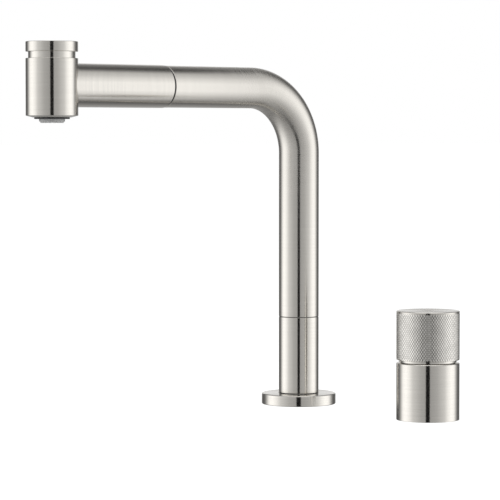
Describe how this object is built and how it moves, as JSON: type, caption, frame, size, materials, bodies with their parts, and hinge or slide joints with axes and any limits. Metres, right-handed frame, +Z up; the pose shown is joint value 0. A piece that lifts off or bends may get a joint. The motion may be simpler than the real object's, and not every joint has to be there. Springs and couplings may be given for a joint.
{
  "type": "pull-out kitchen faucet",
  "caption": "Deck-mounted kitchen tap in brushed steel: an L-shaped swivel spout with a pull-out hammer-head spray, and a separate knurled control knob on a round sleeve.",
  "frame": {"origin": "on the deck plane, at the centre of the base flange's underside, on the riser's axis", "axes": "+Z up the riser, -Y along the arm towards the user, +X towards the control"},
  "size_m": [0.1826, 0.255, 0.341],
  "materials": {
    "brushed_steel": "brushed stainless steel",
    "plain_steel": "bright zinc or stainless, plain",
    "brass": "machined, plain",
    "rubber": "matt",
    "dark_plastic": "moulded, matt",
    "pale_plastic": "moulded, satin",
    "hose_braid": "braided nylon over rubber",
    "ceramic": "lapped"
  },
  "bodies": {
    "base": {"base_flange": "brushed_steel", "base_gasket": "rubber", "base_column": "brushed_steel", "spout_shank": "brass", "thrust_washer": "dark_plastic", "swivel_spigot": "brass", "spout_rubber_washer": "rubber", "spout_clamp_washer": "plain_steel", "spout_nut": "brass", "control_sleeve": "brushed_steel", "control_gasket": "rubber", "valve_body": "brass", "cartridge_seal": "rubber", "fixed_disc": "ceramic", "cartridge_housing": "dark_plastic", "cartridge_nut": "brass", "control_rubber_washer": "rubber", "control_clamp_washer": "plain_steel", "control_nut": "brass"},
    "spout": {"spout_tube": "brushed_steel", "swivel_ring": "brass", "swivel_bush": "dark_plastic", "stop_screw": "plain_steel", "docking_sleeve": "dark_plastic", "riser_hose": "hose_braid", "hose_coupling": "brass"},
    "spray": {"spray_handle": "brushed_steel", "docking_collar": "dark_plastic", "handle_plug": "brass", "check_valve": "dark_plastic", "handle_waterway": "pale_plastic", "arm_hose": "hose_braid", "hose_washer": "rubber", "hose_nut": "brass", "spray_head": "brushed_steel", "aerator_housing": "dark_plastic", "aerator_seal": "rubber", "nozzle_plate": "pale_plastic", "diverter_body": "pale_plastic", "return_spring": "plain_steel"},
    "cap": {"push_cap": "brushed_steel", "diverter_stem": "brass", "stem_seal": "rubber"},
    "knob": {"control_knob": "brushed_steel", "knob_adaptor": "brass", "grub_screw": "plain_steel", "cartridge_stem": "brass", "moving_disc": "ceramic"}
  },
  "joints": [
    {"name": "spout_swivel", "type": "hinge", "parent": "base", "child": "spout", "pos_m": [0, 0, 0.0616], "axis": [0, 0, 1], "range_deg": [-60, 60]},
    {"name": "spray_pull", "type": "slide", "parent": "spout", "child": "spray", "axis": [0, -1, 0], "range_m": [0, 0.5], "deforming": ["arm_hose"]},
    {"name": "cap_press", "type": "slide", "parent": "spray", "child": "cap", "axis": [0, 0, 1], "range_m": [-0.0034, 0], "stiffness_N_per_m": 800, "springref_m": 0.004, "deforming": ["return_spring"]},
    {"name": "knob_turn", "type": "hinge", "parent": "base", "child": "knob", "pos_m": [0.13, 0, 0.0383], "axis": [0, 0, 1], "range_deg": [0, 100]}
  ]
}
